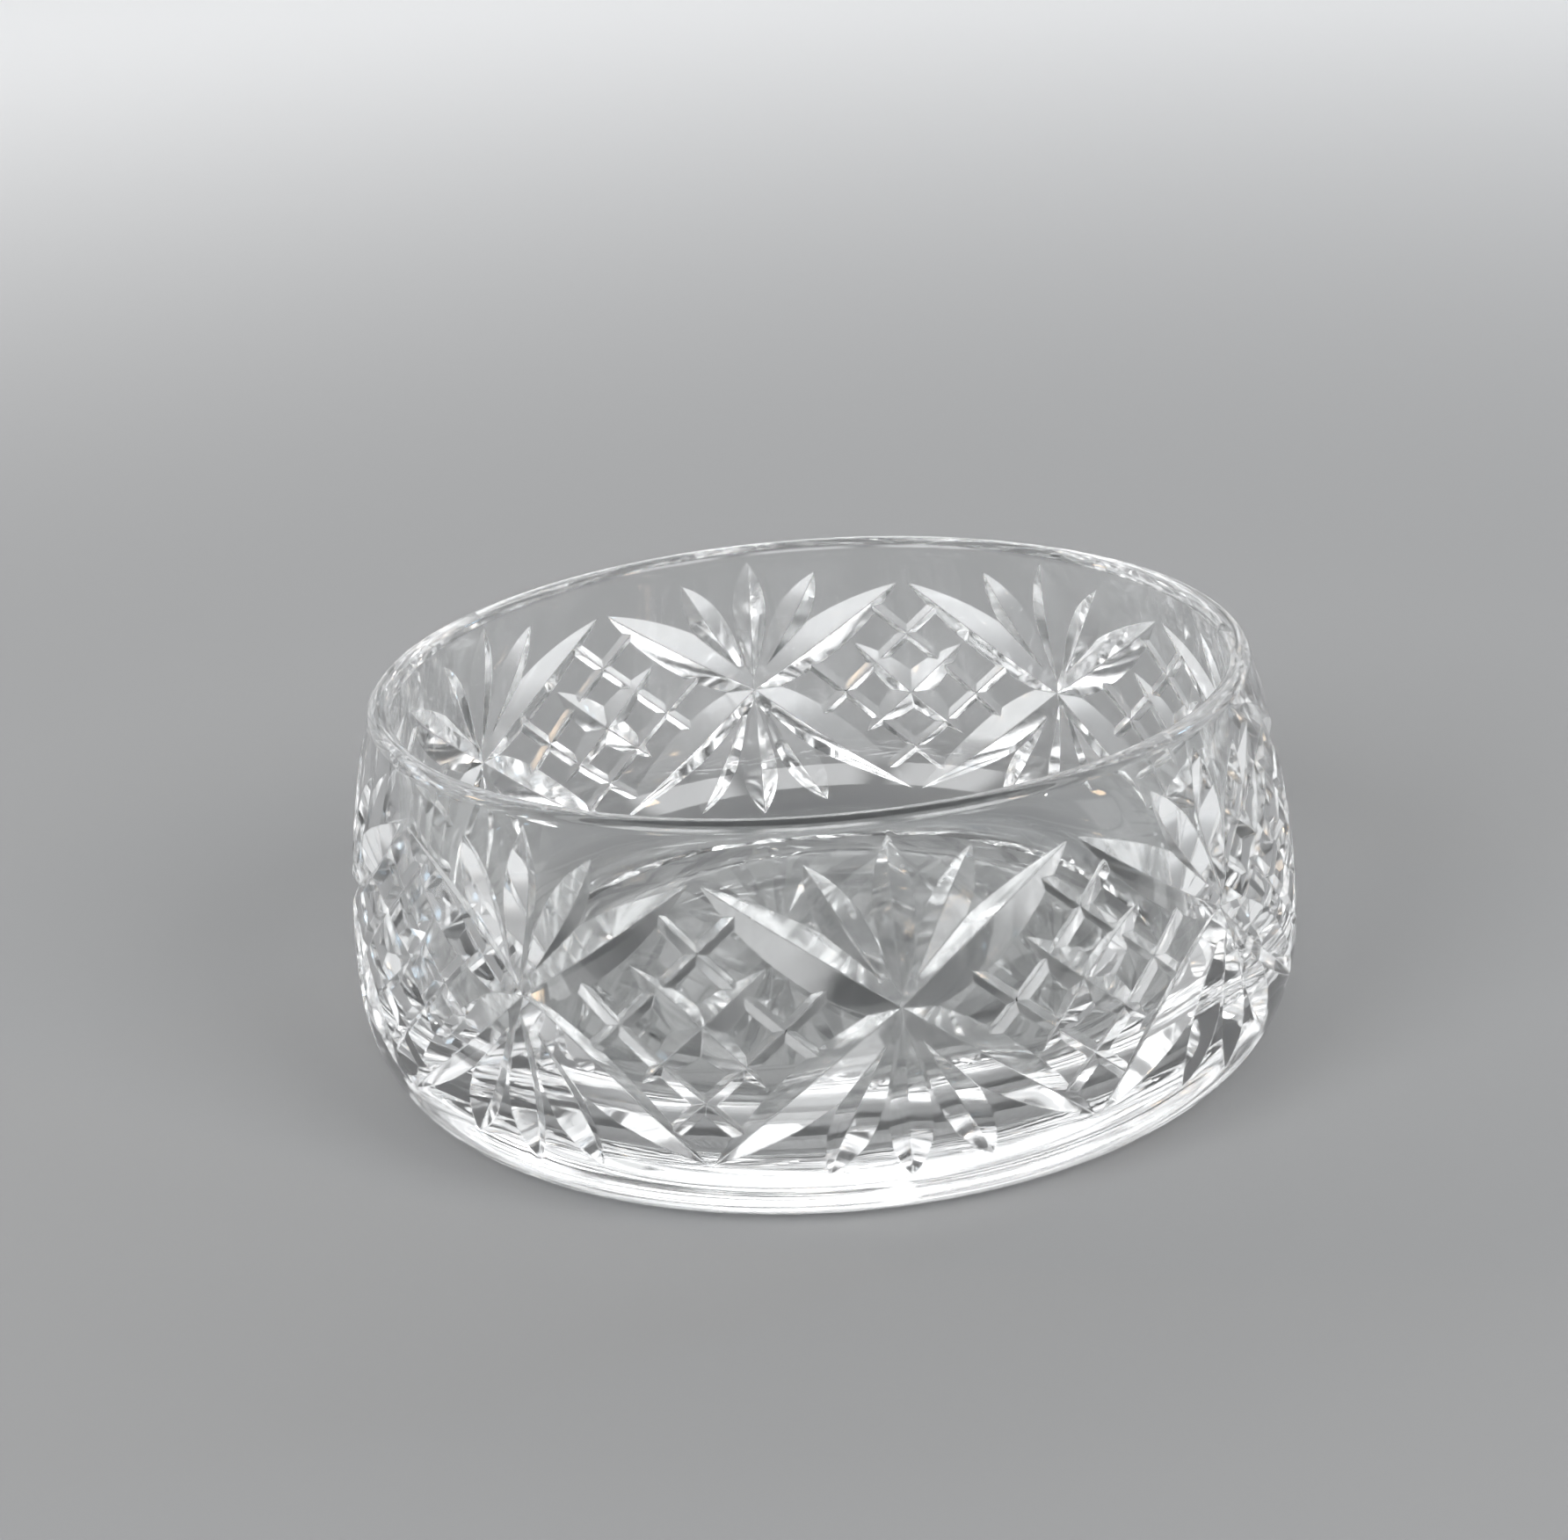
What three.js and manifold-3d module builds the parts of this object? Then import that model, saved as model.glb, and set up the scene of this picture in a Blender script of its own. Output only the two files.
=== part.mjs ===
// Whipped cream bowl of cut lead crystal: one thick blown blank, cut all round the outside with eight
// fans, and with a hatched diamond between each fan and the next.
// Millimetres, +Z up. The origin is the middle of the underside, on the plane that the bowl stands on.
// One fan's middle faces -Y.
import * as THREE from "three";
import Module from "manifold-3d";
import { mergeVertices, toCreasedNormals } from "three/addons/utils/BufferGeometryUtils.js";

// Outside of the blank
const bellyDiameter = 150;
const rimDiameter = 138.5;
const bowlHeight = 64;
const bellyHeight = 21;
const footDiameter = 118;
// Exponent of the heel's curve from the foot to the belly: 2 is an ellipse, more is squarer
const heelFullness = 2.2;

// Inside of the blank
const lipThickness = 4;
const bellyThickness = 6.5;
const floorThickness = 8;
const floorDiameter = 88;
// Height over the inner floor where the inside corner ends and the wall begins
const cornerHeight = 20;
const cornerFullness = 2;

// Shallow hollow ground in the underside, which leaves a ring to stand on
const standingRingWidth = 7;
const undersideHollowDepth = 0.8;

// Fans: each has ten cuts that meet at its middle
const fanCount = 8;
const fanHeight = 36.4;
const rimToFanTip = 3;
const fanTipAboveFoot = 9.9;
// Each tip beside the middle one lies this far along the belly from it, and this much nearer the fan's middle
const upperSideSpread = 12.8;
const upperSideDrop = 3;
const lowerSideSpread = 12.2;
const lowerSideRise = 1.8;
// The long cuts that frame the diamonds end at these levels, and stop short of the next fan's by these gaps
const rimToLongTip = 8.6;
const longTipAboveFoot = 13.6;
const upperTipGap = 2;
const lowerTipGap = 1;

// Wheel cuts: the width across each at the surface, at its widest, and the angle of the V
const longCutWidth = 8.4;
const upperLeafWidth = 6.2;
const lowerLeafWidth = 6.6;
const petalWidth = 6;
const hatchCutWidth = 2.4;
const wheelAngle = THREE.MathUtils.degToRad(112);
// Where a cut is widest, as a share of its length, in a fan from the fan's middle
const longCutPeak = 0.42;
const upperLeafPeak = 0.62;
const lowerLeafPeak = 0.66;
const petalPeak = 0.5;
// How far the cuts of a fan run past its middle
const longCutOverrun = 2;
const leafOverrun = 0.6;
// Hatching of a diamond: an odd count of lines each way, their slope to the level, and how far
// apart they lie. The middle line is a petal, whose tips stop this far from the keels of the long cuts
const hatchLines = 3;
const hatchAngle = THREE.MathUtils.degToRad(42);
const hatchSpacing = 8.3;
const petalTipGap = 4.4;

// Faces of the model
const wallSegments = 64;
const heelSteps = 5;
const wallSteps = 4;
const lipSteps = 4;
const cornerSteps = 5;
const innerWallSteps = 2;
const hollowSteps = 2;
const leafSteps = 4;
const longCutSteps = 6;
const petalSteps = 4;
const hatchCutSteps = 3;
// Height of a cutter's open side over the glass
const cutterStandOff = 0.8;
// Step in which the slope of the wall is measured, and the gap under which two corners are the same
const nudge = 0.01;
const weldGap = 1e-4;
// Faces that meet at more than this angle show a sharp edge between them
const creaseAngle = THREE.MathUtils.degToRad(20);

const crystal = new THREE.MeshStandardMaterial({
  name: "lead crystal",
  color: 0xf4f9fa,
  roughness: 0.02,
  metalness: 0,
  transparent: true,
  opacity: 0.35,
});

const bellyRadius = bellyDiameter / 2;
const rimRadius = rimDiameter / 2;
const footRadius = footDiameter / 2;
const lipRadius = lipThickness / 2;
const lipHeight = bowlHeight - lipRadius;
const wheelSlope = Math.tan(wheelAngle / 2);

const wasm = await Module();
wasm.setup();

// Radius of the outside at a height between the foot and the lip
function outsideRadius(height) {
  if (height >= bellyHeight) {
    const rise = (height - bellyHeight) / (lipHeight - bellyHeight);
    return bellyRadius - (bellyRadius - rimRadius) * rise ** 2;
  }
  const drop = 1 - Math.max(height, 0) / bellyHeight;
  const bulge = (1 - drop ** heelFullness) ** (1 / heelFullness);
  return footRadius + (bellyRadius - footRadius) * bulge;
}

// Radius of the inside at a height between its floor and the lip
function insideRadius(height) {
  const cornerTop = floorThickness + cornerHeight;
  const innerBelly = bellyRadius - bellyThickness;
  const innerRim = rimRadius - lipThickness;
  if (height >= cornerTop) {
    const rise = (height - cornerTop) / (lipHeight - cornerTop);
    return innerBelly - (innerBelly - innerRim) * rise ** 2;
  }
  const drop = 1 - (height - floorThickness) / cornerHeight;
  const bulge = (1 - drop ** cornerFullness) ** (1 / cornerFullness);
  return floorDiameter / 2 + (innerBelly - floorDiameter / 2) * bulge;
}

// Heights that turn a rounded corner evenly, from its flat end at the bottom to its upright end at the top
function cornerHeights(bottom, rise, steps) {
  const heights = [];
  for (let i = 0; i <= steps; i++) {
    heights.push(bottom + rise * (1 - Math.cos((i / steps) * (Math.PI / 2))));
  }
  return heights;
}

function evenHeights(bottom, top, steps) {
  return Array.from({ length: steps + 1 }, (_, i) => bottom + ((top - bottom) * i) / steps);
}

// Half section of the blank, from the middle of the underside, up the outside, over the lip and down inside
function blankProfile() {
  const profile = [];
  const add = (radius, height) => profile.push(new THREE.Vector2(radius, height));
  const hollowRadius = footRadius - standingRingWidth;
  for (let i = 0; i <= hollowSteps; i++) {
    const share = i / hollowSteps;
    add(hollowRadius * share, undersideHollowDepth * (1 - share ** 2));
  }
  for (const height of cornerHeights(0, bellyHeight, heelSteps)) add(outsideRadius(height), height);
  for (const height of evenHeights(bellyHeight, lipHeight, wallSteps).slice(1)) {
    add(outsideRadius(height), height);
  }
  for (let i = 1; i < lipSteps; i++) {
    const turn = (Math.PI * i) / lipSteps;
    add(rimRadius - lipRadius + lipRadius * Math.cos(turn), lipHeight + lipRadius * Math.sin(turn));
  }
  const cornerTop = floorThickness + cornerHeight;
  for (const height of evenHeights(cornerTop, lipHeight, innerWallSteps).slice(1).reverse()) {
    add(insideRadius(height), height);
  }
  for (const height of cornerHeights(floorThickness, cornerHeight, cornerSteps).reverse()) {
    add(insideRadius(height), height);
  }
  add(0, floorThickness);
  return profile;
}

// A closed three.js geometry as a solid that can be cut
function solidFrom(geometry) {
  geometry.deleteAttribute("normal");
  geometry.deleteAttribute("uv");
  const merged = mergeVertices(geometry, weldGap);
  return new wasm.Manifold(
    new wasm.Mesh({
      numProp: 3,
      vertProperties: merged.attributes.position.array,
      triVerts: new Uint32Array(merged.index.array),
    }),
  );
}

function geometryFrom(solid) {
  const mesh = solid.getMesh();
  const geometry = new THREE.BufferGeometry();
  geometry.setAttribute("position", new THREE.BufferAttribute(new Float32Array(mesh.vertProperties), 3));
  geometry.setIndex(new THREE.BufferAttribute(new Uint32Array(mesh.triVerts), 1));
  return toCreasedNormals(geometry, creaseAngle);
}

function blank() {
  const geometry = new THREE.LatheGeometry(blankProfile(), wallSegments);
  geometry.rotateX(Math.PI / 2);
  return solidFrom(geometry);
}

// A place on the outside, from its distance along the belly and its height: where it is, and the way out of
// the glass there
function wallPlace(along, height) {
  const angle = along / bellyRadius;
  const radius = outsideRadius(height);
  const lean =
    (outsideRadius(height + nudge) - outsideRadius(height - nudge)) / (2 * nudge);
  const outward = new THREE.Vector3(Math.sin(angle), -Math.cos(angle), 0);
  return {
    point: outward.clone().multiplyScalar(radius).setZ(height),
    out: new THREE.Vector3(outward.x, outward.y, -lean).normalize(),
  };
}

// The solid that a V-edged wheel takes out of the wall along a line from one place to another. Each stop has
// its share of the way along the line and the wheel's depth there, and a negative depth is off the glass.
function wheelCutter(start, end, stops) {
  const placeAt = (share) =>
    wallPlace(
      start.along + (end.along - start.along) * share,
      start.height + (end.height - start.height) * share,
    );
  const rings = stops.map(({ share, depth }) => {
    const { point, out } = placeAt(share);
    const side = placeAt(share + nudge).point.sub(point).cross(out).normalize();
    const halfWidth = (depth + cutterStandOff) * wheelSlope;
    return [
      point.clone().addScaledVector(out, -depth),
      point.clone().addScaledVector(out, cutterStandOff).addScaledVector(side, halfWidth),
      point.clone().addScaledVector(out, cutterStandOff).addScaledVector(side, -halfWidth),
    ];
  });
  return solidFrom(loft(rings));
}

// A closed skin over a row of three-cornered rings. A ring of no width ends in a point.
function loft(rings) {
  const triangles = [];
  const face = (a, b, c) => triangles.push(...a.toArray(), ...b.toArray(), ...c.toArray());
  for (let i = 1; i < rings.length; i++) {
    const before = rings[i - 1];
    const after = rings[i];
    for (let k = 0; k < 3; k++) {
      const next = (k + 1) % 3;
      face(before[k], after[k], after[next]);
      face(before[k], after[next], before[next]);
    }
  }
  const first = rings[0];
  const last = rings[rings.length - 1];
  face(first[0], first[1], first[2]);
  face(last[2], last[1], last[0]);
  const geometry = new THREE.BufferGeometry();
  geometry.setAttribute("position", new THREE.Float32BufferAttribute(triangles, 3));
  return geometry;
}

// A cut that runs out to a point at both ends, as a wheel leaves it when it is let in and lifted out
function leafCut(start, end, { width, steps, peak }) {
  const depth = width / 2 / wheelSlope;
  const skew = Math.log(1 / 2) / Math.log(peak);
  const runOut = (Math.sqrt(1 + cutterStandOff / depth) - 1) / 2;
  const stops = [{ share: -runOut, depth: -cutterStandOff }];
  for (let i = 0; i <= steps; i++) {
    const share = i / steps;
    stops.push({ share, depth: depth * (1 - (2 * share ** skew - 1) ** 2) });
  }
  stops.push({ share: 1 + runOut / skew, depth: -cutterStandOff });
  return wheelCutter(start, end, stops);
}

// A cut of one width from end to end
function lineCut(start, end, { width, steps }) {
  const depth = width / 2 / wheelSlope;
  const stops = Array.from({ length: steps + 1 }, (_, i) => ({ share: i / steps, depth }));
  return wheelCutter(start, end, stops);
}

const pitch = (2 * Math.PI * bellyRadius) / fanCount;
const fanMiddle = { along: 0, height: fanHeight };

const longCut = { width: longCutWidth, peak: longCutPeak, steps: longCutSteps };
const upperLeaf = { width: upperLeafWidth, peak: upperLeafPeak, steps: leafSteps };
const lowerLeaf = { width: lowerLeafWidth, peak: lowerLeafPeak, steps: leafSteps };
const petal = { width: petalWidth, peak: petalPeak, steps: petalSteps };
const hatchCut = { width: hatchCutWidth, steps: hatchCutSteps };

// A place on the line from a to b, this far past a. A negative distance lies before a.
function pastStart(a, b, distance) {
  const share = distance / Math.hypot(b.along - a.along, b.height - a.height);
  return between(a, b, share);
}

function between(a, b, share) {
  return {
    along: a.along + (b.along - a.along) * share,
    height: a.height + (b.height - a.height) * share,
  };
}

// The ten cuts of the fan whose middle faces -Y
function fanCuts() {
  const upperTip = bowlHeight - rimToFanTip;
  const leaves = [
    { tip: { along: 0, height: upperTip }, shape: upperLeaf },
    { tip: { along: 0, height: fanTipAboveFoot }, shape: lowerLeaf },
  ];
  const longTips = [];
  for (const side of [-1, 1]) {
    leaves.push(
      { tip: { along: side * upperSideSpread, height: upperTip - upperSideDrop }, shape: upperLeaf },
      {
        tip: { along: side * lowerSideSpread, height: fanTipAboveFoot + lowerSideRise },
        shape: lowerLeaf,
      },
    );
    longTips.push(
      { along: (side * (pitch - upperTipGap)) / 2, height: bowlHeight - rimToLongTip },
      { along: (side * (pitch - lowerTipGap)) / 2, height: longTipAboveFoot },
    );
  }
  return [
    ...longTips.map((tip) => leafCut(pastStart(fanMiddle, tip, -longCutOverrun), tip, longCut)),
    ...leaves.map(({ tip, shape }) => leafCut(pastStart(fanMiddle, tip, -leafOverrun), tip, shape)),
  ];
}

// Where the line through a place at a slope crosses the line from a to b
function crossing(place, slope, a, b) {
  const run = b.along - a.along;
  const rise = b.height - a.height;
  const share = (place.height - a.height + slope * (a.along - place.along)) / (rise - slope * run);
  return between(a, b, share);
}

// The hatching of the diamond to the right of that fan: each line runs from side to side of the diamond
function hatchCuts() {
  const left = fanMiddle;
  const right = { along: pitch, height: fanHeight };
  const top = { along: pitch / 2, height: bowlHeight - rimToLongTip };
  const bottom = { along: pitch / 2, height: longTipAboveFoot };
  const slope = Math.tan(hatchAngle);
  const cuts = [];
  for (let line = 1; line <= hatchLines; line++) {
    const fromMiddle = line - (hatchLines + 1) / 2;
    const place = between(bottom, top, 1 / 2);
    place.height += (fromMiddle * hatchSpacing) / Math.cos(hatchAngle);
    const rising = [crossing(place, slope, left, bottom), crossing(place, slope, top, right)];
    const falling = [crossing(place, -slope, left, top), crossing(place, -slope, bottom, right)];
    for (const [start, end] of [rising, falling]) {
      if (fromMiddle === 0) {
        cuts.push(leafCut(pastStart(start, end, petalTipGap), pastStart(end, start, petalTipGap), petal));
      } else {
        cuts.push(lineCut(start, end, hatchCut));
      }
    }
  }
  return cuts;
}

// The blank with every cut of one fan and one diamond taken out at each place round the wall
function cutBowl() {
  const cutters = [...fanCuts(), ...hatchCuts()];
  let bowl = blank();
  for (let fan = 0; fan < fanCount; fan++) {
    for (const cutter of cutters) {
      bowl = bowl.subtract(cutter.rotate([0, 0, (360 * fan) / fanCount]));
    }
  }
  return bowl;
}

const bowl = new THREE.Mesh(geometryFrom(cutBowl()), crystal);
bowl.name = "bowl";

const creamBowl = new THREE.Group();
creamBowl.name = "whipped_cream_bowl";
creamBowl.add(bowl);

export default creamBowl;
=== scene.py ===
# Whipped cream bowl of cut lead crystal, on a plain pale floor in soft studio light.
# The blank is spun from its half section, and every wheel cut is then taken out of it.
import itertools
import math

import bmesh
import bpy
from mathutils import Matrix, Vector


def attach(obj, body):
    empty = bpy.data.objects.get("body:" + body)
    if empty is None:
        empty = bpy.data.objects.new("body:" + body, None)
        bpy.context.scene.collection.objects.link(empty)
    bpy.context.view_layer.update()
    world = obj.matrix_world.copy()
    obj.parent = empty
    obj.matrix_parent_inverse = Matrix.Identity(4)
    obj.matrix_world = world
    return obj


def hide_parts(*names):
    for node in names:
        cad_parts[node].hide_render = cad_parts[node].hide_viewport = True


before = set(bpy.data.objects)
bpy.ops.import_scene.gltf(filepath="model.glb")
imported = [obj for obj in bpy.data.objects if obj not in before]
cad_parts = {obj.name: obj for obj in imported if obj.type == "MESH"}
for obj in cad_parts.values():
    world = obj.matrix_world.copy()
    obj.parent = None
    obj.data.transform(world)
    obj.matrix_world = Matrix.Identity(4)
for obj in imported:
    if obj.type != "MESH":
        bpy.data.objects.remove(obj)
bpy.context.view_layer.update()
bpy.ops.object.select_all(action="DESELECT")

MM = 0.001

# Outside of the blank
BELLY_RADIUS = 75 * MM
RIM_RADIUS = 69.25 * MM
BOWL_HEIGHT = 64 * MM
BELLY_HEIGHT = 21 * MM
FOOT_RADIUS = 59 * MM
HEEL_FULLNESS = 2.2

# Inside of the blank
LIP_THICKNESS = 4 * MM
BELLY_THICKNESS = 6.5 * MM
FLOOR_THICKNESS = 8 * MM
FLOOR_RADIUS = 44 * MM
CORNER_HEIGHT = 20 * MM
CORNER_FULLNESS = 2

# Hollow ground in the underside
STANDING_RING_WIDTH = 7 * MM
UNDERSIDE_HOLLOW_DEPTH = 0.8 * MM

# Fans and diamonds
FAN_COUNT = 8
FAN_HEIGHT = 36.4 * MM
RIM_TO_FAN_TIP = 3 * MM
FAN_TIP_ABOVE_FOOT = 9.9 * MM
UPPER_SIDE_SPREAD = 12.8 * MM
UPPER_SIDE_DROP = 3 * MM
LOWER_SIDE_SPREAD = 12.2 * MM
LOWER_SIDE_RISE = 1.8 * MM
RIM_TO_LONG_TIP = 8.6 * MM
LONG_TIP_ABOVE_FOOT = 13.6 * MM
UPPER_TIP_GAP = 2 * MM
LOWER_TIP_GAP = 1 * MM
HATCH_LINES = 3
HATCH_ANGLE = math.radians(42)
HATCH_SPACING = 8.3 * MM

# Wheel cuts: widths at the surface, where along its length each is widest, and how far it runs past its start
LONG_CUT_WIDTH = 8.4 * MM
UPPER_LEAF_WIDTH = 6.2 * MM
LOWER_LEAF_WIDTH = 6.6 * MM
PETAL_WIDTH = 6 * MM
HATCH_CUT_WIDTH = 2.4 * MM
LONG_CUT_PEAK = 0.42
UPPER_LEAF_PEAK = 0.62
LOWER_LEAF_PEAK = 0.66
PETAL_PEAK = 0.5
LONG_CUT_OVERRUN = 2 * MM
LEAF_OVERRUN = 0.6 * MM
PETAL_TIP_GAP = 4.4 * MM
WHEEL_ANGLE = math.radians(112)
WHEEL_SLOPE = math.tan(WHEEL_ANGLE / 2)
CUTTER_STAND_OFF = 0.8 * MM

# Fineness of the mesh
WALL_SEGMENTS = 288
RING_SPACING = 1.6 * MM
INNER_RING_SPACING = 3 * MM
LIP_STEPS = 16
CUT_STEP = 0.9 * MM
SPUN_WELD = 0.005 * MM
CUTTER_WELD = 0.001 * MM
SHORTEST_EDGE = 0.2 * MM

# Small steps that give the wall's lean at a height, and the way along a cut as a share of its length
NUDGE = 0.01 * MM
AHEAD = 0.01

# A face of the outside this far under the blank's surface, and this high over the foot, is part of a cut
CUT_FACE_DEPTH = 0.04 * MM
FOOT_CLEARANCE = 6 * MM

# Radius that polishing leaves on the edges, and the angle from which an edge counts as one
EDGE_SOFTNESS = 0.35 * MM
EDGE_ANGLE = math.radians(24)
EDGE_SAMPLES = 4

# The crystal, and the waves in its polish
CRYSTAL_COLOUR = (0.985, 0.992, 0.99, 1)
CRYSTAL_IOR = 1.55
WAVE_HEIGHT = 0.2 * MM
WAVE_DETAIL = 3
WAVE_RANGE = (0.3, 0.7)

# Its two finishes: waves per metre, their strength, and the least and most roughness
BLOWN_FINISH = (45, 0.06, 0, 0.01)
CUT_FINISH = (260, 0.02, 0.05, 0.12)

# Floor: light grey round the bowl, which is painted shade, and paler from the fade's start to its end, which is
# painted light on the far floor
FLOOR_SIZE = 16
FLOOR_ROUGHNESS = 0.8
FLOOR_GLOSS = 0.2
PAINTED_LIGHT_START = 0.25
PAINTED_LIGHT_END = 1.3
SHADED_NEAR_FLOOR_COLOUR = (0.385, 0.387, 0.391)
LIT_FAR_FLOOR_COLOUR = (0.86, 0.863, 0.868)

# World: a pale band round the horizon, and soft boxes above it. Heights are sines of the elevation, and a soft
# box is its middle's azimuth from straight behind the bowl, half its width as an angle, and its radiance.
PALE_BAND_LIGHT = 0.86
OVERHEAD_LIGHT = 0.06
PALE_BAND_TOP = (math.sin(math.radians(16)), math.sin(math.radians(24)))
SOFTBOX_BOTTOM = (math.sin(math.radians(19)), math.sin(math.radians(21)))
SOFTBOX_TOP = (math.sin(math.radians(43)), math.sin(math.radians(45)))
SOFTBOX_END_FADE = 0.02
STUDIO_TINT = (0.98, 0.99, 1, 1)
SOFTBOXES = (
    (math.radians(0), math.radians(68), 1.4),
    (math.radians(148), math.radians(15), 6.6),
    (math.radians(188), math.radians(15), 6.6),
    (math.radians(228), math.radians(15), 6.6),
)

# Small tinted lamps, for sparkle
LAMP_DISTANCE = 1.6
LAMP_ELEVATION = math.radians(32)
LAMP_SIZE = 0.12
LAMP_RADIANCE = 14
WARM = (1, 0.72, 0.45)
COOL = (0.55, 0.78, 1)
TINTED_LAMPS = ((290, WARM), (70, COOL), (135, WARM))

# Camera, as fitted to the photograph
SENSOR_WIDTH = 36
PHOTO_WIDTH = 1784
FOCAL_PIXELS = 4193
CAMERA_DISTANCE = 583 * MM
CAMERA_ELEVATION = math.radians(20.15)
CAMERA_TURN = math.radians(-7.2)
CAMERA_ROLL = math.radians(-4.43)
TARGET_SIDE = -4.8 * MM
TARGET_HEIGHT = 46.5 * MM

# How often a ray of light may turn in the glass, and in reflections
GLASS_BOUNCES = 32
GLOSSY_BOUNCES = 16

LIP_RADIUS = LIP_THICKNESS / 2
LIP_HEIGHT = BOWL_HEIGHT - LIP_RADIUS
PITCH = 2 * math.pi * BELLY_RADIUS / FAN_COUNT


def outside_radius(height):
    if height >= BELLY_HEIGHT:
        rise = (height - BELLY_HEIGHT) / (LIP_HEIGHT - BELLY_HEIGHT)
        return BELLY_RADIUS - (BELLY_RADIUS - RIM_RADIUS) * rise**2
    drop = 1 - max(height, 0) / BELLY_HEIGHT
    bulge = (1 - drop**HEEL_FULLNESS) ** (1 / HEEL_FULLNESS)
    return FOOT_RADIUS + (BELLY_RADIUS - FOOT_RADIUS) * bulge


def inside_radius(height):
    corner_top = FLOOR_THICKNESS + CORNER_HEIGHT
    inner_belly = BELLY_RADIUS - BELLY_THICKNESS
    inner_rim = RIM_RADIUS - LIP_THICKNESS
    if height >= corner_top:
        rise = (height - corner_top) / (LIP_HEIGHT - corner_top)
        return inner_belly - (inner_belly - inner_rim) * rise**2
    drop = 1 - (height - FLOOR_THICKNESS) / CORNER_HEIGHT
    bulge = (1 - drop**CORNER_FULLNESS) ** (1 / CORNER_FULLNESS)
    return FLOOR_RADIUS + (inner_belly - FLOOR_RADIUS) * bulge


def corner_heights(bottom, rise, spacing):
    """Heights that turn a rounded corner evenly, from its flat bottom to its upright top."""
    steps = math.ceil(1.5 * rise / spacing)
    return [bottom + rise * (1 - math.cos(i / steps * math.pi / 2)) for i in range(steps + 1)]


def even_heights(bottom, top, spacing):
    steps = math.ceil((top - bottom) / spacing)
    return [bottom + (top - bottom) * i / steps for i in range(1, steps + 1)]


def half_section():
    """The blank's half section in the XZ plane, from the middle of the underside, up the outside, over the
    lip and down the inside to the middle of the floor."""
    points = []
    hollow_radius = FOOT_RADIUS - STANDING_RING_WIDTH
    hollow_steps = math.ceil(hollow_radius / (4 * INNER_RING_SPACING))
    for i in range(hollow_steps + 1):
        share = i / hollow_steps
        points.append((hollow_radius * share, UNDERSIDE_HOLLOW_DEPTH * (1 - share**2)))
    points += [(outside_radius(z), z) for z in corner_heights(0, BELLY_HEIGHT, RING_SPACING)]
    points += [(outside_radius(z), z) for z in even_heights(BELLY_HEIGHT, LIP_HEIGHT, RING_SPACING)]
    for i in range(1, LIP_STEPS):
        turn = math.pi * i / LIP_STEPS
        radius = RIM_RADIUS - LIP_RADIUS + LIP_RADIUS * math.cos(turn)
        points.append((radius, LIP_HEIGHT + LIP_RADIUS * math.sin(turn)))
    corner_top = FLOOR_THICKNESS + CORNER_HEIGHT
    inner_wall = even_heights(corner_top, LIP_HEIGHT, INNER_RING_SPACING)
    inner_corner = corner_heights(FLOOR_THICKNESS, CORNER_HEIGHT, INNER_RING_SPACING / 2)
    points += [(inside_radius(z), z) for z in reversed(inner_corner + inner_wall)]
    floor_steps = math.ceil(FLOOR_RADIUS / (4 * INNER_RING_SPACING))
    for i in range(1, floor_steps + 1):
        points.append((FLOOR_RADIUS * (1 - i / floor_steps), FLOOR_THICKNESS))
    return points


def spin_blank():
    """One point is drawn out along the half section, and the line is spun round the bowl's axis."""
    points = half_section()
    bpy.ops.mesh.primitive_plane_add(size=1 * MM, location=(0, 0, 0))
    blank = bpy.context.object
    blank.name = "crystal_bowl"
    bpy.ops.object.mode_set(mode="EDIT")
    bpy.ops.mesh.merge(type="CENTER")
    bpy.ops.transform.translate(value=(points[0][0], 0, points[0][1]))
    for before, after in zip(points, points[1:]):
        step = (after[0] - before[0], 0, after[1] - before[1])
        bpy.ops.mesh.extrude_region_move(TRANSFORM_OT_translate={"value": step})
    bpy.ops.mesh.select_all(action="SELECT")
    bpy.ops.mesh.spin(steps=WALL_SEGMENTS, angle=2 * math.pi, center=(0, 0, 0), axis=(0, 0, 1))
    bpy.ops.mesh.select_all(action="SELECT")
    bpy.ops.mesh.remove_doubles(threshold=SPUN_WELD)
    bpy.ops.mesh.normals_make_consistent(inside=False)
    bpy.ops.object.mode_set(mode="OBJECT")
    return blank


def wall_place(along, height):
    """A place on the outside, from its distance along the belly and its height, and the way out of the
    glass there."""
    angle = along / BELLY_RADIUS
    lean = (outside_radius(height + NUDGE) - outside_radius(height - NUDGE)) / (2 * NUDGE)
    outward = Vector((math.sin(angle), -math.cos(angle), 0))
    point = outward * outside_radius(height)
    point.z = height
    return point, Vector((outward.x, outward.y, -lean)).normalized()


def between(a, b, share):
    return (a[0] + (b[0] - a[0]) * share, a[1] + (b[1] - a[1]) * share)


def past_start(a, b, distance):
    """A place on the line from a to b, this far past a. A negative distance lies before a."""
    return between(a, b, distance / math.dist(a, b))


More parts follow.
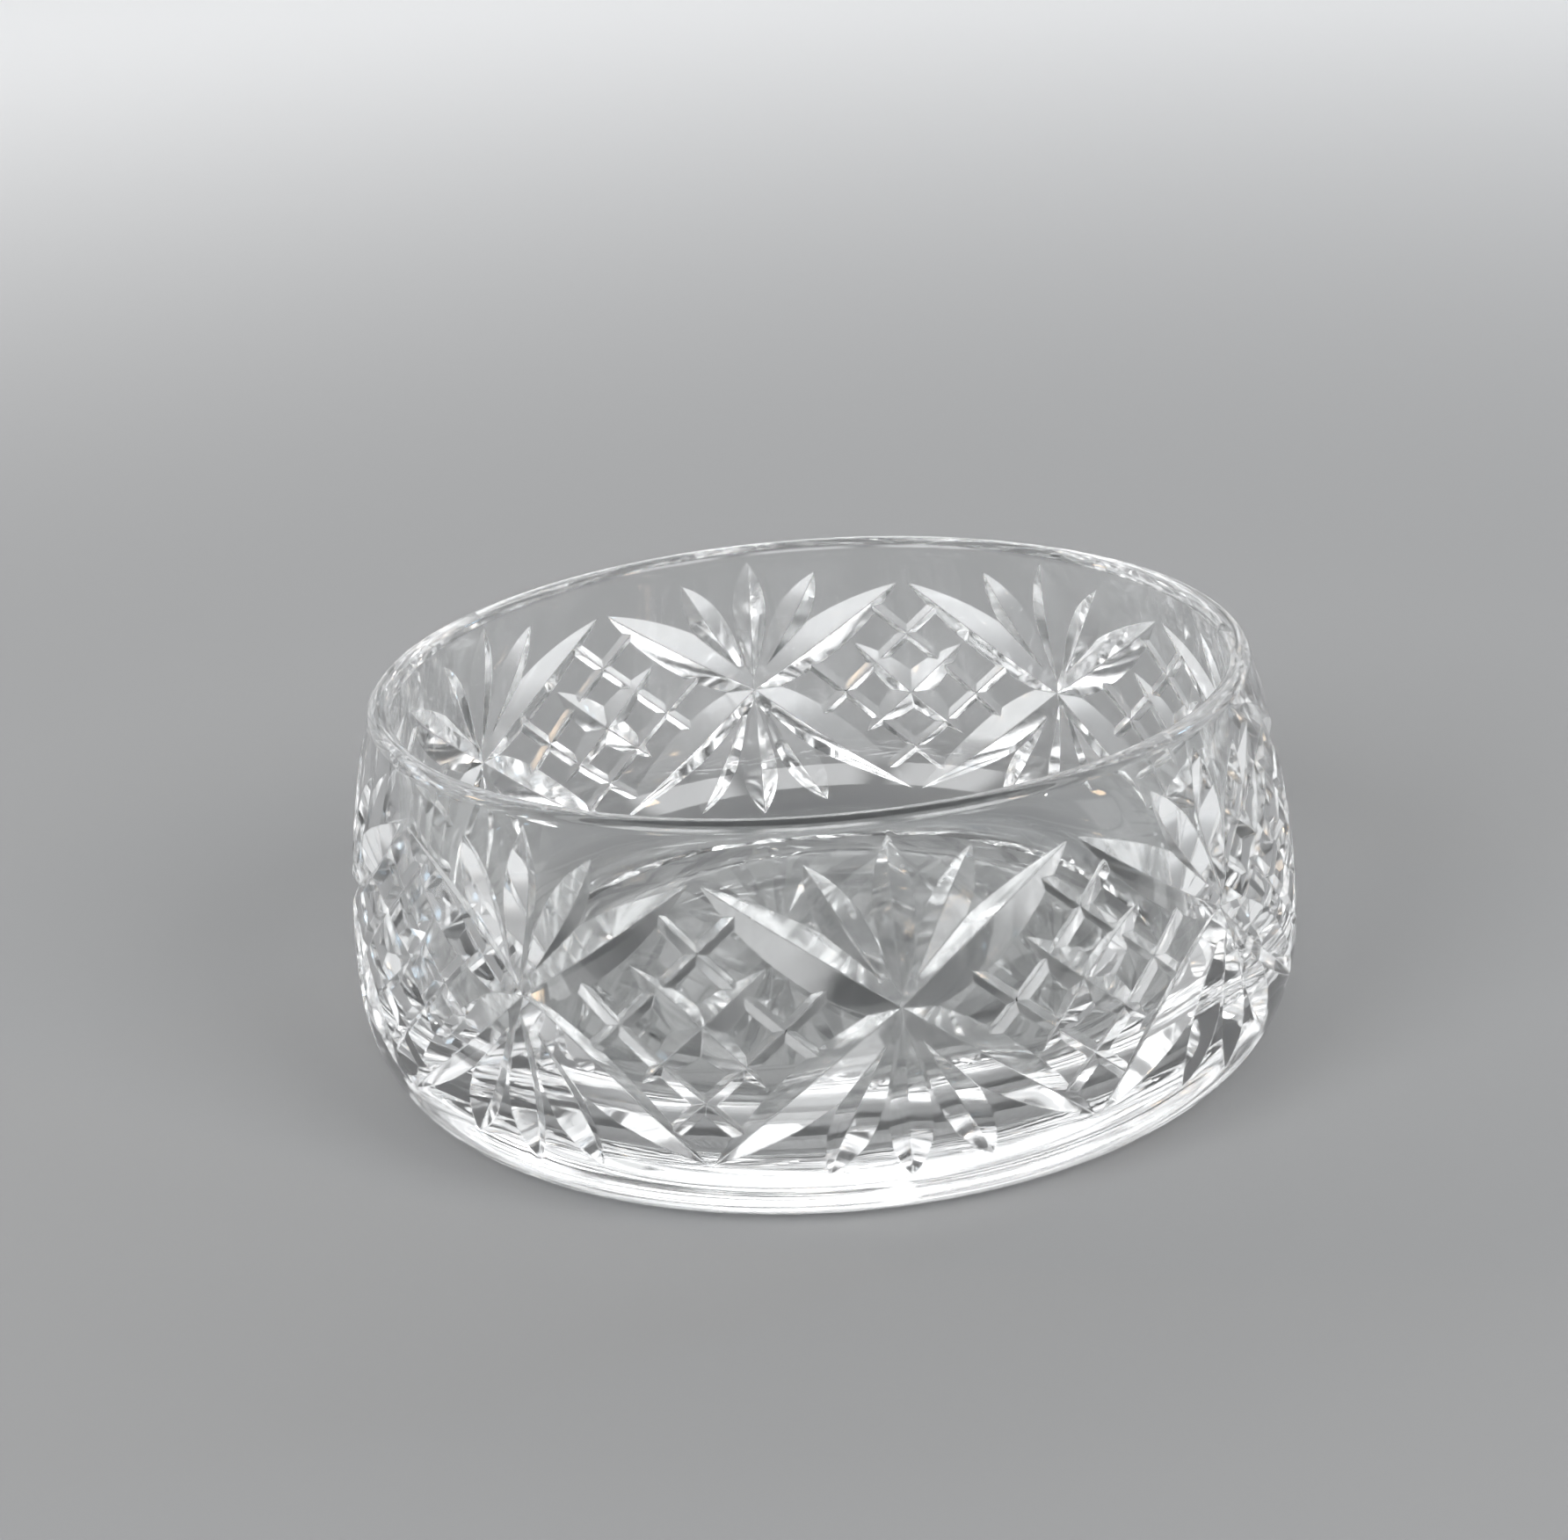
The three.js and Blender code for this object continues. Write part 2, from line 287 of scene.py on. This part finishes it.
def wheel_cutter(start, end, stops):
    """What a V-edged wheel takes out along a line on the wall. A three-sided bar is cut into short lengths, and
    each of its rings is set to the wheel's depth at that stop and laid on the wall."""
    bpy.ops.mesh.primitive_cylinder_add(vertices=3, radius=1, depth=2, location=(0, 0, 0))
    cutter = bpy.context.object
    bpy.ops.object.mode_set(mode="EDIT")
    work = bmesh.from_edit_mesh(cutter.data)
    for edge in work.edges:
        a, b = (v.co.z for v in edge.verts)
        edge.select_set(a * b < 0)
    bmesh.update_edit_mesh(cutter.data)
    bpy.ops.mesh.subdivide(number_cuts=len(stops) - 2)
    bpy.ops.object.mode_set(mode="OBJECT")
    keel_side = max(vertex.co.y for vertex in cutter.data.vertices)
    for vertex in cutter.data.vertices:
        share, depth = stops[round((vertex.co.z + 1) / 2 * (len(stops) - 1))]
        point, out = wall_place(*between(start, end, share))
        ahead, _ = wall_place(*between(start, end, share + AHEAD))
        side = (ahead - point).cross(out).normalized()
        if math.isclose(vertex.co.y, keel_side, abs_tol=0.01):
            vertex.co = point - out * depth
        else:
            across = (depth + CUTTER_STAND_OFF) * WHEEL_SLOPE * math.copysign(1, vertex.co.x)
            vertex.co = point + out * CUTTER_STAND_OFF + side * across
    bpy.ops.object.mode_set(mode="EDIT")
    bpy.ops.mesh.select_all(action="SELECT")
    bpy.ops.mesh.remove_doubles(threshold=CUTTER_WELD)
    bpy.ops.mesh.normals_make_consistent(inside=False)
    bpy.ops.object.mode_set(mode="OBJECT")
    return cutter


def even_shares(start, end):
    steps = math.ceil(math.dist(start, end) / CUT_STEP)
    return [i / steps for i in range(steps + 1)]


def leaf_cut(start, end, width, peak):
    """A cut that runs out to a point at both ends, and is widest at the peak's share of its length."""
    depth = width / 2 / WHEEL_SLOPE
    skew = math.log(1 / 2) / math.log(peak)
    run_out = (math.sqrt(1 + CUTTER_STAND_OFF / depth) - 1) / 2
    stops = [(share, depth * (1 - (2 * share**skew - 1) ** 2)) for share in even_shares(start, end)]
    stops = [(-run_out, -CUTTER_STAND_OFF), *stops, (1 + run_out / skew, -CUTTER_STAND_OFF)]
    return wheel_cutter(start, end, stops)


def line_cut(start, end, width):
    depth = width / 2 / WHEEL_SLOPE
    return wheel_cutter(start, end, [(share, depth) for share in even_shares(start, end)])


def fan_cutters():
    """The ten cutters of the fan that faces -Y, each made when its turn comes."""
    middle = (0, FAN_HEIGHT)
    upper_tip = BOWL_HEIGHT - RIM_TO_FAN_TIP
    uppers = [(0, upper_tip)]
    lowers = [(0, FAN_TIP_ABOVE_FOOT)]
    longs = []
    for side in (-1, 1):
        uppers.append((side * UPPER_SIDE_SPREAD, upper_tip - UPPER_SIDE_DROP))
        lowers.append((side * LOWER_SIDE_SPREAD, FAN_TIP_ABOVE_FOOT + LOWER_SIDE_RISE))
        longs.append((side * (PITCH - UPPER_TIP_GAP) / 2, BOWL_HEIGHT - RIM_TO_LONG_TIP))
        longs.append((side * (PITCH - LOWER_TIP_GAP) / 2, LONG_TIP_ABOVE_FOOT))
    for tip in longs:
        yield leaf_cut(past_start(middle, tip, -LONG_CUT_OVERRUN), tip, LONG_CUT_WIDTH, LONG_CUT_PEAK)
    for tip in uppers:
        yield leaf_cut(past_start(middle, tip, -LEAF_OVERRUN), tip, UPPER_LEAF_WIDTH, UPPER_LEAF_PEAK)
    for tip in lowers:
        yield leaf_cut(past_start(middle, tip, -LEAF_OVERRUN), tip, LOWER_LEAF_WIDTH, LOWER_LEAF_PEAK)


def crossing(place, slope, a, b):
    """Where the line through a place at a slope crosses the line from a to b."""
    run, rise = b[0] - a[0], b[1] - a[1]
    return between(a, b, (place[1] - a[1] + slope * (a[0] - place[0])) / (rise - slope * run))


def hatch_cutters():
    """The cutters of the hatching in the diamond to the right of that fan, in lines from side to side of it."""
    left, right = (0, FAN_HEIGHT), (PITCH, FAN_HEIGHT)
    top, bottom = (PITCH / 2, BOWL_HEIGHT - RIM_TO_LONG_TIP), (PITCH / 2, LONG_TIP_ABOVE_FOOT)
    middle = between(bottom, top, 1 / 2)
    slope = math.tan(HATCH_ANGLE)
    for line in range(1, HATCH_LINES + 1):
        from_middle = line - (HATCH_LINES + 1) / 2
        place = (middle[0], middle[1] + from_middle * HATCH_SPACING / math.cos(HATCH_ANGLE))
        rising = crossing(place, slope, left, bottom), crossing(place, slope, top, right)
        falling = crossing(place, -slope, left, top), crossing(place, -slope, bottom, right)
        for start, end in (rising, falling):
            if from_middle == 0:
                tips = past_start(start, end, PETAL_TIP_GAP), past_start(end, start, PETAL_TIP_GAP)
                yield leaf_cut(*tips, PETAL_WIDTH, PETAL_PEAK)
            else:
                yield line_cut(start, end, HATCH_CUT_WIDTH)


def ring_of_copies(cutter):
    """The cutter and its turned copies, one for each fan, as one object."""
    whole = bmesh.new()
    for fan in range(FAN_COUNT):
        turned = cutter.data.copy()
        turned.transform(Matrix.Rotation(2 * math.pi * fan / FAN_COUNT, 4, "Z"))
        whole.from_mesh(turned)
        bpy.data.meshes.remove(turned)
    whole.to_mesh(cutter.data)
    whole.free()


def take_out(blank, cutter):
    ring_of_copies(cutter)
    cut = blank.modifiers.new("wheel cut", "BOOLEAN")
    cut.operation = "DIFFERENCE"
    cut.object = cutter
    cut.solver = "MANIFOLD"
    bpy.context.view_layer.objects.active = blank
    bpy.ops.object.modifier_apply(modifier=cut.name)
    bpy.data.objects.remove(cutter)


def tidy_mesh(piece, shortest_edge):
    bpy.ops.object.select_all(action="DESELECT")
    piece.select_set(True)
    bpy.context.view_layer.objects.active = piece
    bpy.ops.object.mode_set(mode="EDIT")
    bpy.ops.mesh.select_all(action="SELECT")
    bpy.ops.mesh.remove_doubles(threshold=shortest_edge)
    bpy.ops.mesh.dissolve_degenerate(threshold=shortest_edge / 10)
    bpy.ops.mesh.normals_make_consistent(inside=False)
    bpy.ops.object.mode_set(mode="OBJECT")


def depth_under_surface(place):
    return outside_radius(place.z) - math.hypot(place.x, place.y)


def shade_facets(piece):
    """The faces that meet at an edge are shaded flat up to it, and the blown surface is shaded smooth."""
    bpy.ops.object.shade_smooth_by_angle(angle=EDGE_ANGLE)
    flat = piece.modifiers.new("flat facets", "WEIGHTED_NORMAL")
    flat.mode = "FACE_AREA"
    flat.keep_sharp = True
    bpy.ops.object.modifier_apply(modifier=flat.name)


def make_bowl():
    bowl = spin_blank()
    for cutter in itertools.chain(fan_cutters(), hatch_cutters()):
        take_out(bowl, cutter)
    tidy_mesh(bowl, SHORTEST_EDGE)
    shade_facets(bowl)
    return bowl


def mark_cut_faces(piece):
    """Faces that the wheels left get the second material."""
    for face in piece.data.polygons:
        is_outside = face.normal.x * face.center.x + face.normal.y * face.center.y > 0
        is_cut = depth_under_surface(face.center) > CUT_FACE_DEPTH
        if is_outside and is_cut and FOOT_CLEARANCE < face.center.z < LIP_HEIGHT:
            face.material_index = 1


def polished_surface():
    """Node group: faint waves in the polish and softly rounded edges, as a normal, and the waves' height."""
    group = bpy.data.node_groups.new("polished_surface", "ShaderNodeTree")
    for label in ("Waves per Metre", "Strength", "Edge Radius"):
        group.interface.new_socket(label, in_out="INPUT", socket_type="NodeSocketFloat")
    group.interface.new_socket("Normal", in_out="OUTPUT", socket_type="NodeSocketVector")
    group.interface.new_socket("Height", in_out="OUTPUT", socket_type="NodeSocketFloat")
    nodes, links = group.nodes, group.links
    outer = nodes.new("NodeGroupInput")
    place = nodes.new("ShaderNodeTexCoord")
    noise = nodes.new("ShaderNodeTexNoise")
    noise.inputs["Detail"].default_value = WAVE_DETAIL
    bump = nodes.new("ShaderNodeBump")
    bump.inputs["Distance"].default_value = WAVE_HEIGHT
    edges = nodes.new("ShaderNodeBevel")
    edges.samples = EDGE_SAMPLES
    result = nodes.new("NodeGroupOutput")
    links.new(place.outputs["Object"], noise.inputs["Vector"])
    links.new(outer.outputs["Waves per Metre"], noise.inputs["Scale"])
    links.new(outer.outputs["Strength"], bump.inputs["Strength"])
    links.new(noise.outputs["Fac"], bump.inputs["Height"])
    links.new(bump.outputs["Normal"], edges.inputs["Normal"])
    links.new(outer.outputs["Edge Radius"], edges.inputs["Radius"])
    links.new(edges.outputs["Normal"], result.inputs["Normal"])
    links.new(noise.outputs["Fac"], result.inputs["Height"])
    return group


def crystal_material(name, surface, waves_per_metre, strength, smoothest, dullest):
    """Clear lead crystal whose surface waves and dulls a little from place to place."""
    material = bpy.data.materials.new(name)
    material.use_nodes = True
    nodes = material.node_tree.nodes
    links = material.node_tree.links
    shader = nodes["Principled BSDF"]
    shader.inputs["Base Color"].default_value = CRYSTAL_COLOUR
    shader.inputs["IOR"].default_value = CRYSTAL_IOR
    shader.inputs["Transmission Weight"].default_value = 1
    polish = nodes.new("ShaderNodeGroup")
    polish.node_tree = surface
    polish.inputs["Waves per Metre"].default_value = waves_per_metre
    polish.inputs["Strength"].default_value = strength
    polish.inputs["Edge Radius"].default_value = EDGE_SOFTNESS
    dullness = nodes.new("ShaderNodeMapRange")
    dullness.inputs["From Min"].default_value, dullness.inputs["From Max"].default_value = WAVE_RANGE
    dullness.inputs["To Min"].default_value = smoothest
    dullness.inputs["To Max"].default_value = dullest
    links.new(polish.outputs["Height"], dullness.inputs["Value"])
    links.new(dullness.outputs["Result"], shader.inputs["Roughness"])
    links.new(polish.outputs["Normal"], shader.inputs["Normal"])
    return material


def smooth_fade(nodes, links, value, from_range, to_range):
    """A node that fades smoothly from one value to another as its input passes through a range."""
    fade = nodes.new("ShaderNodeMapRange")
    fade.interpolation_type = "SMOOTHSTEP"
    fade.inputs["From Min"].default_value, fade.inputs["From Max"].default_value = from_range
    fade.inputs["To Min"].default_value, fade.inputs["To Max"].default_value = to_range
    links.new(value, fade.inputs["Value"])
    return fade.outputs["Result"]


def multiply(nodes, links, a, b):
    product = nodes.new("ShaderNodeMath")
    product.operation = "MULTIPLY"
    links.new(a, product.inputs[0])
    links.new(b, product.inputs[1])
    return product.outputs["Value"]


def make_floor():
    bpy.ops.mesh.primitive_plane_add(size=FLOOR_SIZE, location=(0, 0, 0))
    floor = bpy.context.object
    floor.name = "studio_floor"
    material = bpy.data.materials.new("floor_painted_shade_and_light")
    material.use_nodes = True
    nodes, links = material.node_tree.nodes, material.node_tree.links
    shader = nodes["Principled BSDF"]
    shader.inputs["Roughness"].default_value = FLOOR_ROUGHNESS
    shader.inputs["Specular IOR Level"].default_value = FLOOR_GLOSS
    place = nodes.new("ShaderNodeTexCoord")
    distance = nodes.new("ShaderNodeVectorMath")
    distance.operation = "LENGTH"
    links.new(place.outputs["Object"], distance.inputs[0])
    shade = nodes.new("ShaderNodeMix")
    shade.data_type = "RGBA"
    near, far = (socket for socket in shade.inputs if socket.name in "AB" and socket.type == "RGBA")
    near.default_value = (*SHADED_NEAR_FLOOR_COLOUR, 1)
    far.default_value = (*LIT_FAR_FLOOR_COLOUR, 1)
    # Painted shade round the bowl, fading to painted light on the far floor
    painted_light = smooth_fade(nodes, links, distance.outputs["Value"], (PAINTED_LIGHT_START, PAINTED_LIGHT_END), (0, 1))
    links.new(painted_light, shade.inputs["Factor"])
    links.new(next(socket for socket in shade.outputs if socket.type == "RGBA"), shader.inputs["Base Color"])
    floor.data.materials.append(material)


def softbox():
    """Node group: a soft box far from the bowl, as the share of its light that comes from a direction."""
    group = bpy.data.node_groups.new("softbox", "ShaderNodeTree")
    group.interface.new_socket("Direction", in_out="INPUT", socket_type="NodeSocketVector")
    group.interface.new_socket("Middle", in_out="INPUT", socket_type="NodeSocketVector")
    group.interface.new_socket("End", in_out="INPUT", socket_type="NodeSocketFloat")
    group.interface.new_socket("Light", in_out="OUTPUT", socket_type="NodeSocketFloat")
    nodes, links = group.nodes, group.links
    outer = nodes.new("NodeGroupInput")
    level = nodes.new("ShaderNodeVectorMath")
    level.operation = "MULTIPLY"
    level.inputs[1].default_value = (1, 1, 0)
    heading = nodes.new("ShaderNodeVectorMath")
    heading.operation = "NORMALIZE"
    facing = nodes.new("ShaderNodeVectorMath")
    facing.operation = "DOT_PRODUCT"
    past_end = nodes.new("ShaderNodeMath")
    past_end.operation = "SUBTRACT"
    parts = nodes.new("ShaderNodeSeparateXYZ")
    result = nodes.new("NodeGroupOutput")
    links.new(outer.outputs["Direction"], level.inputs[0])
    links.new(level.outputs["Vector"], heading.inputs[0])
    links.new(heading.outputs["Vector"], facing.inputs[0])
    links.new(outer.outputs["Middle"], facing.inputs[1])
    links.new(facing.outputs["Value"], past_end.inputs[0])
    links.new(outer.outputs["End"], past_end.inputs[1])
    links.new(outer.outputs["Direction"], parts.inputs["Vector"])
    across = smooth_fade(nodes, links, past_end.outputs["Value"], (-SOFTBOX_END_FADE, SOFTBOX_END_FADE), (0, 1))
    above = smooth_fade(nodes, links, parts.outputs["Z"], SOFTBOX_BOTTOM, (0, 1))
    below = smooth_fade(nodes, links, parts.outputs["Z"], SOFTBOX_TOP, (1, 0))
    upright = multiply(nodes, links, above, below)
    links.new(multiply(nodes, links, across, upright), result.inputs["Light"])
    return group


def make_world():
    """A studio that is pale round the horizon and dark overhead, with its soft boxes."""
    world = bpy.data.worlds.new("studio")
    world.use_nodes = True
    nodes, links = world.node_tree.nodes, world.node_tree.links
    direction = nodes.new("ShaderNodeTexCoord")
    parts = nodes.new("ShaderNodeSeparateXYZ")
    links.new(direction.outputs["Generated"], parts.inputs["Vector"])
    light = smooth_fade(nodes, links, parts.outputs["Z"], PALE_BAND_TOP, (PALE_BAND_LIGHT, OVERHEAD_LIGHT))
    shape = softbox()
    for middle, half_width, radiance in SOFTBOXES:
        box = nodes.new("ShaderNodeGroup")
        box.node_tree = shape
        box.inputs["Middle"].default_value = (math.sin(middle), math.cos(middle), 0)
        box.inputs["End"].default_value = math.cos(half_width)
        links.new(direction.outputs["Generated"], box.inputs["Direction"])
        added = nodes.new("ShaderNodeMath")
        added.operation = "MULTIPLY_ADD"
        added.inputs[1].default_value = radiance
        links.new(box.outputs["Light"], added.inputs[0])
        links.new(light, added.inputs[2])
        light = added.outputs["Value"]
    background = nodes["Background"]
    background.inputs["Color"].default_value = STUDIO_TINT
    links.new(light, background.inputs["Strength"])
    bpy.context.scene.world = world


def add_lamp(name, azimuth, colour):
    """A small tinted lamp turned to the bowl, at this azimuth from straight behind it, clockwise from above."""
    light = bpy.data.lights.new(name, "AREA")
    light.shape = "SQUARE"
    light.size = LAMP_SIZE
    light.energy = LAMP_RADIANCE * math.pi * LAMP_SIZE**2
    light.color = colour
    lamp = bpy.data.objects.new(name, light)
    out = LAMP_DISTANCE * math.cos(LAMP_ELEVATION)
    turn = math.radians(azimuth)
    lamp.location = (math.sin(turn) * out, math.cos(turn) * out, LAMP_DISTANCE * math.sin(LAMP_ELEVATION))
    lamp.rotation_euler = lamp.location.to_track_quat("Z", "Y").to_euler()
    bpy.context.scene.collection.objects.link(lamp)


def make_camera():
    data = bpy.data.cameras.new("photo_camera")
    data.sensor_width = SENSOR_WIDTH
    data.lens = SENSOR_WIDTH * FOCAL_PIXELS / PHOTO_WIDTH
    camera = bpy.data.objects.new("photo_camera", data)
    back = Vector((0, -math.cos(CAMERA_ELEVATION), math.sin(CAMERA_ELEVATION)))
    right = Vector((1, 0, 0))
    up = back.cross(right)
    rolled_right = right * math.cos(CAMERA_ROLL) + up * math.sin(CAMERA_ROLL)
    rolled_up = up * math.cos(CAMERA_ROLL) - right * math.sin(CAMERA_ROLL)
    stand = Matrix((rolled_right, rolled_up, back)).transposed().to_4x4()
    stand.translation = Vector((TARGET_SIDE, 0, TARGET_HEIGHT)) + back * CAMERA_DISTANCE
    camera.matrix_world = Matrix.Rotation(CAMERA_TURN, 4, "Z") @ stand
    bpy.context.scene.collection.objects.link(camera)
    bpy.context.scene.camera = camera


make_camera()
make_floor()
make_world()
for azimuth, colour in TINTED_LAMPS:
    add_lamp(f"tinted_lamp_{azimuth}", azimuth, colour)

bowl = make_bowl()
surface = polished_surface()
bowl.data.materials.clear()
bowl.data.materials.append(crystal_material("blown_crystal", surface, *BLOWN_FINISH))
bowl.data.materials.append(crystal_material("cut_crystal", surface, *CUT_FINISH))
mark_cut_faces(bowl)
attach(bowl, "root")
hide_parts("bowl")

bpy.context.scene.view_settings.view_transform = "Standard"
bpy.context.scene.cycles.max_bounces = GLASS_BOUNCES
bpy.context.scene.cycles.transmission_bounces = GLASS_BOUNCES
bpy.context.scene.cycles.glossy_bounces = GLOSSY_BOUNCES
